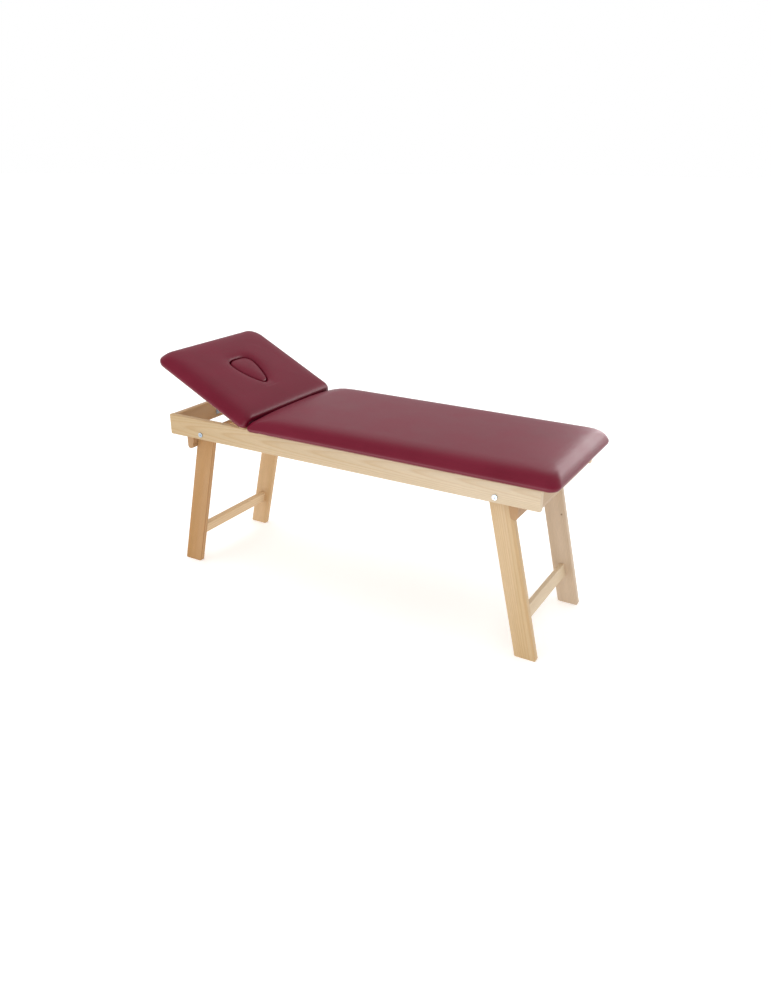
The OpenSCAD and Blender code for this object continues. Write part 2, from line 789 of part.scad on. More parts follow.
module hinge_screw_places() {
    for (i = [0:hinge_screws - 1])
        translate([(knuckle_r + leaf_w) / 2 + face_gap,
            (i / (hinge_screws - 1) - 0.5) * (hinge_l - 2 * hinge_screw_in), 0]) children();
}

module hinge_leaf_long() {
    color([0.72, 0.74, 0.77]) placed() translate([hinge_x, 0, hinge_z])
        hinge_leaf(0, -flat_gap);
}

module hinge_leaf_head() color([0.72, 0.74, 0.77]) head_piece() hinge_leaf(0, 0);

module hinge_pin() {
    color([0.72, 0.74, 0.77]) placed() translate([hinge_x, 0, hinge_z])
        pin_y(hinge_pin_r, -hinge_l / 2, hinge_l / 2);
}

module hinge_screws_long() {
    color([0.72, 0.74, 0.77]) placed() translate([hinge_x, 0, hinge_z - flat_gap + leaf_t])
        hinge_screw_places() screw(hinge_screw_l, hinge_screw_r, hinge_screw_head_r);
}

module hinge_screws_head() {
    color([0.72, 0.74, 0.77]) head_piece() translate([0, 0, leaf_t])
        hinge_screw_places() screw(hinge_screw_l, hinge_screw_r, hinge_screw_head_r);
}

// Stay

module at_stay_foot() {
    placed() translate([hinge_x + stay_foot.x, 0, hinge_z + stay_foot.y]) children();
}

module at_stay_top() {
    placed() translate([hinge_x + stay_top.x, 0, hinge_z + stay_top.y]) children();
}

module stay_rail_screw_places() {
    for (side = [-1, 1])
        translate([hinge_x + stay_foot.x - stay_out + bracket_t, side * plate_screw,
            hinge_z + stay_foot.y]) rotate([0, 90, 0]) children();
}

// A plate on the end rail with two ears that hold the lower pin on both sides of the bar
module stay_rail_bracket() {
    gap = bar_t / 2 + face_gap;
    color([0.75, 0.79, 0.84]) {
        at_stay_foot() difference() {
            union() {
                translate([-stay_out, -plate_w / 2, -rail_plate_h / 2])
                    cube([bracket_t, plate_w, rail_plate_h]);
                for (side = [-1, 1]) translate([0, side * (gap + bracket_t / 2), 0])
                    across(rounded([[-stay_out, -ear_w / 2], [ear_w / 2, -ear_w / 2],
                        [ear_w / 2, ear_w / 2], [-stay_out, ear_w / 2]],
                        [0, ear_w / 2 - edge_r, ear_w / 2 - edge_r, 0]), bracket_t);
            }
            pin_y(stay_pin_r, -plate_w, plate_w);
            rail_screw_cuts();
        }
    }
}

// The bracket's screw holes, drawn from the lower pivot
module rail_screw_cuts() {
    for (side = [-1, 1]) translate([bracket_t - stay_out, side * plate_screw, 0])
        rotate([0, 90, 0]) screw(plate_screw_l + bracket_t, screw_r, screw_head_r);
}

module stay_rail_screws() color([0.8, 0.82, 0.85]) at_stay_foot() rail_screw_cuts();

// A pivot pin with a head at both sides of what it holds, half is half the width held
module stay_pin(half) {
    pin_y(stay_pin_r, -half, half);
    for (turn = [0, 180]) rotate([0, 0, turn]) pin_y(pin_head_r, half, half + pin_head_t);
}

module stay_rail_pin() {
    color([0.8, 0.82, 0.85]) at_stay_foot() stay_pin(bar_t / 2 + face_gap + bracket_t);
}

module stay_bar() {
    color([0.62, 0.64, 0.67]) at_stay_foot() rotate([0, -stay_angle, 0]) difference() {
        across(rounded([[-stay_end_r, -bar_h / 2], [bar_l, -bar_h / 2], [bar_l, bar_h / 2],
            [-stay_end_r, bar_h / 2]], [stay_end_r - over / 2, edge_r, edge_r, stay_end_r - over / 2]), bar_t);
        pin_y(stay_pin_r + run_gap, -bar_t, bar_t);
    }
}

module stay_channel() {
    low = -bar_h / 2 - bar_under_gap;
    side_low = low - channel_t;
    color([0.7, 0.73, 0.77]) at_stay_top() rotate([0, -stay_angle, 0]) difference() {
        union() {
            difference() {
                across(rounded([[-channel_l, side_low], [stay_end_r, side_low],
                    [stay_end_r, channel_up], [-channel_l, channel_up]],
                    [edge_r, stay_end_r, stay_end_r, edge_r]), channel_out);
                translate([-channel_l - over, -channel_in / 2, low])
                    cube([channel_l + over - ear_w, channel_in, bar_h * 2]);
                translate([-ear_w - over, -channel_in / 2, -bar_h])
                    cube([ear_w * 2 + over, channel_in, bar_h * 2]);
            }
            translate([knob_from_end - channel_l, 0, 0])
                hex_y(clamp_nut_flats, -channel_out / 2 - clamp_nut_t, -channel_out / 2);
        }
        pin_y(stay_pin_r + run_gap, -channel_out, channel_out);
        translate([knob_from_end - channel_l, 0, 0]) pin_y(stud_r + run_gap, -channel_out * 2, 0);
    }
}

module at_knob() {
    at_stay_top() rotate([0, -stay_angle, 0]) translate([knob_from_end - channel_l, 0, 0])
        children();
}

module clamp_knob() {
    near = -channel_out / 2 - clamp_nut_t - face_gap;
    color([0.1, 0.1, 0.11]) at_knob() difference() {
        pin_y(knob_r, near - knob_t, near);
        pin_y(stud_r, near - knob_t * stud_in_knob_share, near + over);
        for (i = [0:knob_lobes - 1]) rotate([0, i * 360 / knob_lobes, 0])
            translate([knob_r + knob_hollow_r * knob_hollow_out_share, 0, 0])
                pin_y(knob_hollow_r, near - knob_t - over, near + over);
    }
}

module clamp_stud() {
    near = -channel_out / 2 - clamp_nut_t - face_gap;
    color([0.7, 0.73, 0.77]) at_knob() pin_y(stud_r, near - knob_t * stud_in_knob_share, -bar_t / 2 - face_gap);
}

module stay_board_screw_places() {
    for (side = [-1, 1]) translate([stay_at, side * plate_screw, -board_t - bracket_t])
        rotate([180, 0, 0]) children();
}

// A plate under the head board with a tongue that hangs between the channel's sides
module stay_board_bracket() {
    tongue = channel_in - 2 * face_gap;
    color([0.75, 0.79, 0.84]) head_piece() difference() {
        union() {
            translate([stay_at - plate_l / 2, -plate_w / 2, -board_t - bracket_t])
                cube([plate_l, plate_w, bracket_t]);
            translate([stay_at, 0, stay_board_z])
                across(rounded([[-ear_w / 2, -ear_w / 2], [ear_w / 2, -ear_w / 2],
                    [ear_w / 2, stay_drop], [-ear_w / 2, stay_drop]],
                    [ear_w / 2 - edge_r, ear_w / 2 - edge_r, 0, 0]), tongue);
        }
        translate([stay_at, 0, stay_board_z]) pin_y(stay_pin_r, -plate_w, plate_w);
        stay_board_screw_places() screw(plate_screw_l + bracket_t, screw_r, screw_head_r);
    }
}

module stay_board_screws() {
    color([0.8, 0.82, 0.85]) head_piece() stay_board_screw_places()
        screw(plate_screw_l + bracket_t, screw_r, screw_head_r);
}

module stay_board_pin() {
    color([0.8, 0.82, 0.85]) head_piece() translate([stay_at, 0, stay_board_z])
        stay_pin(channel_out / 2 + face_gap);
}

front_side_rail();
rear_side_rail();
head_end_rail();
foot_end_rail();
hinge_batten();
middle_batten();
head_stop_batten();
foot_stop_batten();
corner_dowels();
batten_dowels();
stop_batten_screws();
batten_screws();
panel_brackets();
panel_bracket_screws();
long_board();
long_cushion();
leg_bolts();
leg_spacers();
leg_washers();
leg_nuts();
hinge_leaf_long();
hinge_pin();
hinge_screws_long();
stay_rail_bracket();
stay_rail_screws();
stay_rail_pin();
head_board();
head_cushion();
hinge_leaf_head();
hinge_screws_head();
stay_board_bracket();
stay_board_screws();
stay_board_pin();
stay_bar();
stay_channel();
clamp_knob();
clamp_stud();
plug_cushion();
plug_board();
head_front_leg();
head_rear_leg();
head_stretcher();
head_leg_dowels();
foot_front_leg();
foot_rear_leg();
foot_stretcher();
foot_leg_dowels();
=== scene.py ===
import math
import bpy
import numpy as np
from mathutils import Matrix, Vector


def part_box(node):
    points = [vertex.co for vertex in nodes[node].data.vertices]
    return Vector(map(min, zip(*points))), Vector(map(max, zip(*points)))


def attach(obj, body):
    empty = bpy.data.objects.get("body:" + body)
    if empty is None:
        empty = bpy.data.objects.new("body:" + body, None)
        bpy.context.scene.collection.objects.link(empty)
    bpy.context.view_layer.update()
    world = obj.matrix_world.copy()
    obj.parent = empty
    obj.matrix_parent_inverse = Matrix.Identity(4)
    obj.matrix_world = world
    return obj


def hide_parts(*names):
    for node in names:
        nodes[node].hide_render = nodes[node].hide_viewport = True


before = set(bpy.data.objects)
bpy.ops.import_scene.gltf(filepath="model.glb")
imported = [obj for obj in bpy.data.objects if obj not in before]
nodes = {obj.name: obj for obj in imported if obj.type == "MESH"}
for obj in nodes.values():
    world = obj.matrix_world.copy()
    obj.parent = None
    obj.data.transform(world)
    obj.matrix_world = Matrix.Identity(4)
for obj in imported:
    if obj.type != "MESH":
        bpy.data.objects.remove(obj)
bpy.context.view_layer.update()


# Side rails: two pine boards on edge that run the table's whole length. They are planed, rounded
# along their edges and clear varnished, and their end grain shows at both ends.
def fit(tree, kind, inputs, **settings):
    """One shader node: its settings first, then each input, linked where it is given a socket."""
    node = tree.nodes.new("ShaderNode" + kind)
    for key, value in settings.items():
        setattr(node, key, value)
    for key, value in inputs.items():
        if isinstance(value, bpy.types.NodeSocket):
            tree.links.new(value, node.inputs[key])
        else:
            node.inputs[key].default_value = value
    return node


def fresh(name):
    """A new material, its node tree, its shader, and where each point of the piece lies."""
    mat = bpy.data.materials.new(name)
    mat.use_nodes = True
    tree = mat.node_tree
    return mat, tree, tree.nodes["Principled BSDF"], fit(tree, "TexCoord", {}).outputs["Object"]


def noise(tree, where, scale, detail, **inputs):
    """Noise of one scale, or of three, which stretch it along the axis of the smallest."""
    if isinstance(scale, tuple):
        where, scale = fit(tree, "Mapping", {"Vector": where, "Scale": scale}).outputs[0], 1
    inputs.update({"Vector": where, "Scale": scale, "Detail": detail})
    return fit(tree, "TexNoise", inputs).outputs["Fac"]


def relief(tree, shader, height, strength, distance):
    """A fine unevenness of the skin, from a pattern's height."""
    bump = fit(tree, "Bump", {"Strength": strength, "Distance": distance, "Height": height})
    tree.links.new(bump.outputs[0], shader.inputs["Normal"])


def blend(tree, share, low, high, **settings):
    """Two colours mixed by a share, each a colour of its own or a socket."""
    ends = [end if isinstance(end, bpy.types.NodeSocket) else (*end, 1) for end in (low, high)]
    return fit(tree, "Mix", {0: share, 6: ends[0], 7: ends[1]}, data_type="RGBA", **settings).outputs[2]


def spread(tree, value, low, high, start=0.3, end=0.7):
    """A value's run from start to end, as a rule a noise's middle range, carried over to low to
    high and held there beyond it."""
    return fit(tree, "MapRange", {"Value": value, "From Min": start, "From Max": end,
                                  "To Min": low, "To Max": high}).outputs["Result"]


def pine(name, pale, late, turn, pith, ring=0.0042, depth=0.5, knot=None, head_end=None):
    """Sawn pine. A board is cut from a log whose growth rings are cylinders round the pith, so the
    late wood is a saw wave of the distance from the pith line, which wanders along the grain. Fine
    fibres, 20 times longer than wide, vary colour, gloss and relief. A knot, given by its place and
    radius, is a dark round spot, and painted shade may darken a long board towards its head end."""
    mat, tree, shader, where = fresh(name)
    turn = [math.radians(a) for a in turn]
    grain = fit(tree, "Mapping", {"Vector": where, "Rotation": turn}).outputs[0]
    log = fit(tree, "Mapping", {"Vector": grain, "Location": pith, "Scale": (0.05, 1, 1)}).outputs[0]
    rings = fit(tree, "TexWave", {"Vector": log, "Scale": math.pi / 10 / ring, "Distortion": 7,
                                  "Detail": 2, "Detail Scale": 0.1, "Detail Roughness": 0.5},
                wave_type="RINGS", rings_direction="X", wave_profile="SAW").outputs["Fac"]
    ramp = fit(tree, "ValToRGB", {"Fac": rings})
    for place, level in ((0.1, 0.0), (0.55, 0.14), (0.9, 1.0)):
        ramp.color_ramp.elements.new(place).color = (level, level, level, 1)
    for end in (ramp.color_ramp.elements[0], ramp.color_ramp.elements[-1]):
        end.color = (0.35, 0.35, 0.35, 1)
    fibres = noise(tree, grain, (30, 620, 620), 3, Roughness=0.65)
    plank = fit(tree, "Mapping", {"Vector": grain, "Scale": (1.4, 16, 16), "Location": pith}).outputs[0]
    tone = noise(tree, plank, 1, 2)
    late_share = fit(tree, "Math", {0: ramp.outputs["Color"], 1: depth}, operation="MULTIPLY").outputs[0]
    wood = blend(tree, late_share, pale, late)
    lit = fit(tree, "Math", {0: spread(tree, fibres, 0.92, 1.06), 1: spread(tree, tone, 0.94, 1.05)},
              operation="MULTIPLY").outputs[0]
    wood = fit(tree, "HueSaturation", {"Color": wood, "Value": lit,
                                       "Saturation": spread(tree, tone, 1.06, 0.95)}).outputs["Color"]
    if knot:
        near = fit(tree, "VectorMath", {0: where, 1: knot[0]}, operation="DISTANCE").outputs["Value"]
        dark = spread(tree, near, 0.8, 0, knot[1] * 0.4, knot[1])
        wood = blend(tree, dark, wood, (0.12, 0.05, 0.02))
    if head_end:
        along = fit(tree, "SeparateXYZ", {0: where}).outputs["X"]
        wood = blend(tree, spread(tree, along, 1, 0, -0.87, 0.6), wood, head_end, blend_type="MULTIPLY")
    tree.links.new(wood, shader.inputs["Base Color"])
    tree.links.new(spread(tree, fibres, 0.4, 0.56), shader.inputs["Roughness"])
    shader.inputs["Specular IOR Level"].default_value = 0.25
    shader.inputs["Coat Weight"].default_value = 0.04
    shader.inputs["Coat Roughness"].default_value = 0.3
    height = fit(tree, "Math", {0: fibres, 1: late_share, 2: 0.5}, operation="MULTIPLY_ADD").outputs[0]
    relief(tree, shader, height, 0.3, 0.0004)
    return mat


def finish(material, *names):
    """Puts one material on every slot of the named nodes."""
    for name in names:
        for slot in nodes[name].material_slots:
            slot.material = material


# The front rail's base colour is painted darker towards its head end, as painted shade.
finish(pine("pine_front_rail", (0.69, 0.56, 0.395), (0.565, 0.385, 0.21), (0, 0.9, 1.1),
            (0, 0.235, -0.7), head_end=(0.84, 0.75, 0.6)), "front_side_rail")
finish(pine("pine_rear_rail", (0.72, 0.53, 0.33), (0.58, 0.36, 0.18), (0, -0.8, 1), (0.4, -0.36, -0.68)),
       "rear_side_rail")

# End rails: shorter pine boards, sawn and varnished like the side rails, butted between them and
# dowelled and glued. Their grain runs across the table.
# Their base colour is painted darker than the side rails' to stand for the shade on their inner faces
# inside the frame.
finish(pine("pine_end_rail_painted_shade", (0.54, 0.38, 0.235), (0.42, 0.26, 0.14), (0, 0, -90), (0, 0.7, -0.62)),
       "head_end_rail", "foot_end_rail")


# Dowels: beech pegs glued into the ends of end rails, battens and stretchers. Their wood is
# close and plain, with short dark flecks.
def beech():
    """Even beech: flecks are a noise stretched five times, and the tone varies slowly."""
    mat, tree, shader, where = fresh("beech_dowel")
    fleck = noise(tree, where, (900, 180, 900), 2)
    wood = blend(tree, spread(tree, fleck, 0, 1), (0.66, 0.45, 0.26), (0.5, 0.3, 0.15))
    tree.links.new(wood, shader.inputs["Base Color"])
    tree.links.new(spread(tree, fleck, 0.5, 0.62), shader.inputs["Roughness"])
    relief(tree, shader, fleck, 0.2, 0.0002)
    return mat


finish(beech(), "corner_dowels", "batten_dowels", "head_leg_dowels", "foot_leg_dowels")

# Battens: two flat boards cross the frame under the panels, and a stouter stop batten is screwed
# under the side rails at each end, bevelled so that the open legs bear on it.
finish(pine("pine_flat_batten", (0.62, 0.44, 0.26), (0.46, 0.28, 0.14), (0, 0, -90), (0, 0.2, -0.7),
            depth=0.7), "hinge_batten", "middle_batten")
# The stop battens' base colour is painted darker than the flat battens' to stand for the shade under the
# side rails.
finish(pine("pine_stop_batten_painted_shade", (0.475, 0.285, 0.143), (0.345, 0.175, 0.072), (0, 0, -90),
            (0, 0.8, -0.55), depth=0.7), "head_stop_batten", "foot_stop_batten")

# Legs: four pine boards on edge, splayed, with a rounded top round the bolt and a foot cut level.
# Each is from another plank, so their tones differ, and the head front leg is darker still: painted
# shade.
leg_lean = 12.7
# The head front leg's base colour is painted darker than the other legs' to stand for the shade on it.
finish(pine("pine_head_front_leg_painted_shade", (0.495, 0.28, 0.112), (0.35, 0.158, 0.05), (0, -90 - leg_lean, 0),
            (0, 0.31, 0.62), depth=0.75), "head_front_leg")
finish(pine("pine_head_rear_leg", (0.66, 0.45, 0.25), (0.5, 0.29, 0.13), (0, -90 - leg_lean, 0),
            (0, -0.36, 0.66)), "head_rear_leg")
finish(pine("pine_foot_front_leg", (0.63, 0.455, 0.26), (0.51, 0.3, 0.135), (0, leg_lean - 90, 0),
            (0, 0.18, -0.86)), "foot_front_leg")
finish(pine("pine_foot_rear_leg", (0.64, 0.505, 0.37), (0.51, 0.345, 0.21), (0, leg_lean - 90, 0),
            (0, -0.3, -0.9), knot=((0.773, 0.243, 0.41), 0.006)), "foot_rear_leg")

# Stretchers: a pine rail low down between the two legs of each pair, planed and varnished, and
# dowelled into the legs' inner faces.
finish(pine("pine_head_stretcher", (0.72, 0.53, 0.32), (0.58, 0.36, 0.18), (0, 0, -90), (0, 0.6, -0.3)),
       "head_stretcher")
finish(pine("pine_foot_stretcher", (0.74, 0.6, 0.42), (0.6, 0.42, 0.25), (0, 0, -90),
            (0.3, 0.63, -0.33)), "foot_stretcher")


# Bright metal: bolts, washers, nuts, brackets, screws, hinge and stay are zinc plated steel, with
# the faint blue and straw clouds and the fine scratches of that plating.
def zinc():
    """Plated steel: clouds are a slow noise between two tints, and scratches a stretched one."""
    mat, tree, shader, where = fresh("zinc_plate")
    rubbed = fit(tree, "Mapping", {"Vector": where, "Rotation": (0.3, 0.4, 0.2),
                                   "Scale": (150, 2600, 2600)}).outputs[0]
    scratch = noise(tree, rubbed, 1, 3)
    cloud = noise(tree, where, 60, 2)
    tint = blend(tree, spread(tree, cloud, 0, 1), (0.36, 0.47, 0.6), (0.48, 0.52, 0.55))
    tree.links.new(tint, shader.inputs["Base Color"])
    tree.links.new(spread(tree, scratch, 0.24, 0.4), shader.inputs["Roughness"])
    relief(tree, shader, scratch, 0.15, 0.0001)
    shader.inputs["Metallic"].default_value = 1
    return mat


zinc_plate = zinc()
finish(zinc_plate, "leg_bolts", "leg_washers", "leg_nuts", "stop_batten_screws", "batten_screws",
       "panel_brackets", "panel_bracket_screws", "hinge_leaf_long", "hinge_leaf_head", "hinge_pin",
       "hinge_screws_long", "hinge_screws_head", "stay_rail_bracket", "stay_rail_screws",
       "stay_rail_pin", "stay_board_bracket", "stay_board_screws", "stay_board_pin", "stay_bar",
       "stay_channel", "clamp_stud")


# Black plastic: the spacers between rails and legs, and the stay's clamp knob. Both are injection
# moulded, with the fine grain of a spark-eroded mould.
def black_moulding():
    """Moulded plastic: the grain is a fine noise in relief and gloss, and a slow noise is the
    little dust in the tone."""
    mat, tree, shader, where = fresh("black_moulding")
    grit, dust = noise(tree, where, 1800, 2), noise(tree, where, 45, 3)
    tint = blend(tree, spread(tree, dust, 0, 1), (0.012, 0.012, 0.013), (0.03, 0.03, 0.031))
    tree.links.new(tint, shader.inputs["Base Color"])
    tree.links.new(spread(tree, grit, 0.42, 0.58), shader.inputs["Roughness"])
    relief(tree, shader, grit, 0.25, 0.0001)
    return mat


finish(black_moulding(), "leg_spacers", "clamp_knob")


# Boards: birch plywood of five plies under each cushion and under the face plug. The plies show
# as bands on the cut edges of the face hole.
def plywood(name, lean, base):
    """Plywood: face grain is a stretched noise, and the plies a sine of the height in the sheet,
    one dark and one pale ply to each period."""
    mat, tree, shader, where = fresh(name)
    laid = fit(tree, "Mapping", {"Vector": where, "Location": base}).outputs[0]
    flat = fit(tree, "Mapping", {"Vector": laid, "Rotation": (0, lean, 0)}).outputs[0]
    face = noise(tree, flat, (9, 150, 150), 4, Distortion=0.6)
    plies = fit(tree, "TexWave", {"Vector": flat, "Scale": math.pi / 10 / ply_pair},
                wave_type="BANDS", bands_direction="Z").outputs["Fac"]
    wood = blend(tree, spread(tree, face, 0, 1), (0.66, 0.48, 0.29), (0.52, 0.35, 0.19))
    banded = fit(tree, "HueSaturation", {"Color": wood, "Value": spread(tree, plies, 0.72, 1.04, 0, 1)})
    tree.links.new(banded.outputs["Color"], shader.inputs["Base Color"])
    tree.links.new(spread(tree, face, 0.55, 0.72), shader.inputs["Roughness"])
    relief(tree, shader, face, 0.25, 0.0003)
    return mat


# The hinge line's place, the long board's underside, the boards' thickness, that of two plies,
# and the head section's tilt as photographed.
hinge_x = (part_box("hinge_pin")[0][0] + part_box("hinge_pin")[1][0]) / 2
hinge_z, board_z, board_t, ply_pair = 0.7513, 0.736, 0.015, 0.006
tilt = math.radians(27)
finish(plywood("plywood_long", 0, (0, 0, -board_z)), "long_board")
finish(plywood("plywood_head", -tilt, (-hinge_x, 0, -hinge_z)), "head_board", "plug_board")


# Long cushion: foam on the plywood, thickest in the middle and drawn down to the board's edge on
# all sides by one piece of dark red coated fabric, which is turned under and stapled below.
def vinyl(name, turn=0.0):
    """Coated upholstery fabric: a pebbled grain of smooth cells 1 mm across with finer pores,
    faint stretch marks across the panel, and a slow drift of colour and gloss."""
    mat, tree, shader, where = fresh(name)
    where = fit(tree, "Mapping", {"Vector": where, "Rotation": (0, turn, 0)}).outputs[0]
    pebble = fit(tree, "TexVoronoi", {"Vector": where, "Scale": 850, "Smoothness": 0.6},
                 feature="SMOOTH_F1").outputs["Distance"]
    pores, drift = noise(tree, where, 2600, 2), noise(tree, where, 7, 3)
    marks = noise(tree, where, (7, 120, 30), 3)
    red = blend(tree, spread(tree, drift, 0, 1), (0.151, 0.0045, 0.020), (0.172, 0.0065, 0.025))
    flecked = fit(tree, "HueSaturation", {"Color": red, "Value": spread(tree, pores, 0.95, 1.05)})
    tree.links.new(flecked.outputs["Color"], shader.inputs["Base Color"])
    gloss = fit(tree, "Math", {0: spread(tree, drift, 0.36, 0.42), 1: spread(tree, pores, -0.03, 0.03)},
                operation="ADD").outputs[0]
    tree.links.new(gloss, shader.inputs["Roughness"])
    fine = fit(tree, "Math", {0: pebble, 1: 1.4, 2: pores}, operation="MULTIPLY_ADD").outputs[0]
    grained = fit(tree, "Bump", {"Strength": 0.22, "Distance": 0.00025, "Height": fine}).outputs[0]
    tree.links.new(fit(tree, "Bump", {"Strength": 0.12, "Distance": 0.0012, "Height": marks,
                                      "Normal": grained}).outputs[0], shader.inputs["Normal"])
    shader.inputs["Specular IOR Level"].default_value = 0.24
    return mat


# Half the width, the gap to the hinge line, the flat field's height over the board's underside,
# and how much higher the middle is.
pad_half, pad_end, thick, crown = 0.329, 0.0035, 0.065, 0.0015
# How far in from its edges the cover slopes, at the sides and at the hinge, and its corner radii:
# at the sides' foot end, at the hinge end, and of the flat field.
side_run, hinge_run, outer_r, hinge_r, inner_r = 0.115, 0.13, 0.047, 0.024, 0.1
# The foam's underside over the board's, and how far in the board's edge and the cover's hem lie.
board_up, wrap, under = 0.0152, 0.0047, 0.021
# The cushions' section in mm, from the roll under the board's edge to the top: how far each level
# lies in at the sides, its height, and how far it lies in beside the hinge on the long cushion and
# on the head cushion, whose cover is pulled tighter there. Both are widest 14.5 mm up.
section = np.array([(13, -4.2, 6, 6), (8.5, -2.7, 3, 3), (5.2, 0.3, 1.6, 1.6), (2.8, 4, 0.7, 0.7),
                    (1.1, 8, 0.2, 0.2), (0.3, 11.5, 0, 0), (0, 14.5, 0.1, 0.1), (1.3, 18.7, 0.8, 0.6),
                    (4.5, 26.2, 2.4, 1), (8.5, 34.4, 5.5, 1.6), (13, 42.2, 12, 3.2),
                    (18.5, 49, 24, 7), (26, 54.4, 44, 15), (36, 58.5, 62, 30), (53, 62, 86, 55),
                    (80, 64.3, 109, 90), (115, 65, 130, 120)]) / 1000
widest = 0.0145


def side_curve(count, hinge_column):
    """A smooth curve through the section's levels: cubic arcs whose slope at each level is that of
    its two neighbours, resampled closer towards the bottom. Gives inset, height and hinge inset."""
    p = section[:, [0, 1, hinge_column]]
    q = np.vstack([2 * p[0] - p[1], p, 2 * p[-1] - p[-2]])
    t = np.linspace(0, 1, 9)[:-1, None]
    arcs = [0.5 * (2 * b + (c - a) * t + (2 * a - 5 * b + 4 * c - d) * t ** 2
                   + (3 * b - 3 * c + d - a) * t ** 3)
            for a, b, c, d in zip(q[:-3], q[1:-2], q[2:-1], q[3:])]
    fine = np.vstack(arcs + [p[-1:]])
    run = np.concatenate([[0], np.cumsum(np.hypot(*np.diff(fine[:, :2], axis=0).T))])
    at = run[-1] * np.linspace(0, 1, count) ** 1.5
    return [np.interp(at, run, column) for column in fine.T]


def panel_outline(far, inset, near, near_r, far_r, along, across, bend):
    """A rounded rectangle from the hinge end to far, drawn in by inset, and by near at the hinge
    end: straight runs in even steps, and corners whose points turn by the arc sine of even steps
    over root two, as the rim of a grid bent into a quarter disc has them. Runs round from the near
    end of the front side."""
    x0, x1, y = pad_end + near, far - inset, pad_half - inset
    k = np.arange(bend) / bend
    half = np.arcsin(k / math.sqrt(2))
    turn = np.concatenate([half, math.pi / 2 - np.arcsin((1 - k) / math.sqrt(2))])
    out = []
    corners = [((x1 - far_r, -y + far_r), far_r, -math.pi / 2), ((x1 - far_r, y - far_r), far_r, 0),
               ((x0 + near_r, y - near_r), near_r, math.pi / 2),
               ((x0 + near_r, -y + near_r), near_r, math.pi)]
    starts = [(x0 + near_r, -y), (x1, -y + far_r), (x1 - far_r, y), (x0, y - near_r)]
    for (centre, r, start), begin, steps in zip(corners, starts, (along, across, along, across)):
        first = np.array(centre) + r * np.array([math.cos(start), math.sin(start)])
        run = np.arange(steps)[:, None] / steps
        out.append(np.array(begin) * (1 - run) + first * run)
        a = start + turn
        out.append(np.array(centre) + r * np.stack([np.cos(a), np.sin(a)], 1))
    return np.vstack(out)


def panel_grid(far, along, across, bend):
    """Points of the flat field inside the rounded side. Its four corner fields are bent into
    quarter discs: p and q in the field go to p root(1 - q q / 2) and q root(1 - p p / 2)."""
    x0, x1, y = pad_end + hinge_run, far - side_run, pad_half - side_run

    def lines(a, b, middle):
        """Grid lines from a to b, with the two corner fields' own steps at the ends."""
        k = np.arange(bend + 1) / bend
        return np.concatenate([a + inner_r * k, np.linspace(a + inner_r, b - inner_r, middle + 1)[1:-1],
                               b - inner_r + inner_r * k])

    gx, gy = np.meshgrid(lines(x0, x1, along), lines(-y, y, across), indexing="ij")
    px = np.maximum(0, np.abs(gx - (x0 + x1) / 2) - (x1 - x0) / 2 + inner_r) / inner_r
    py = np.maximum(0, np.abs(gy) - y + inner_r) / inner_r
    gx = gx + np.sign(gx - (x0 + x1) / 2) * inner_r * px * (np.sqrt(1 - py ** 2 / 2) - 1)
    gy = gy + np.sign(gy) * inner_r * py * (np.sqrt(1 - px ** 2 / 2) - 1)
    return gx, gy


def ring_quads(first, second):
    """Quads between two rings, each given by the indices of its points in order."""
    return np.stack([first, np.roll(first, -1), np.roll(second, -1), second], 1)


def sheet_grid(columns, rows, start):
    """Quads of a sheet whose points lie in columns and rows, and the indices of the points round
    its rim, from the column start of the front edge onwards."""
    index = np.arange(columns * rows).reshape(columns, rows)
    cells = np.stack([index[:-1, :-1], index[1:, :-1], index[1:, 1:], index[:-1, 1:]], -1)
    rim = np.concatenate([index[start:-1, 0], index[-1, :-1], index[:0:-1, -1], index[0, :0:-1],
                          index[:start, 0]])
    return cells.reshape(-1, 4), rim


def closed(cells, rim, size, levels):
    """Quads of a closed cover: a top sheet of size points, its cells and rim given, then a pile of
    levels, each a ring of points, and a bottom sheet like the top, seen from the other side."""
    piles = [rim] + [size + k * len(rim) + np.arange(len(rim)) for k in range(levels)]
    base = size + levels * len(rim)
    walls = [ring_quads(one, two)[:, ::-1] for one, two in zip(piles, piles[1:] + [base + rim])]
    return np.vstack([cells, *walls, base + cells[:, ::-1]])


def surface(name, points, quads):
    """A mesh object of its own from whole arrays of points and quads, shaded smooth."""
    mesh = bpy.data.meshes.new(name)
    mesh.from_pydata(points.tolist(), [], quads.tolist())
    mesh.polygons.foreach_set("use_smooth", np.ones(len(quads), bool))
    piece = bpy.data.objects.new(name, mesh)
    bpy.context.scene.collection.objects.link(piece)
    return piece


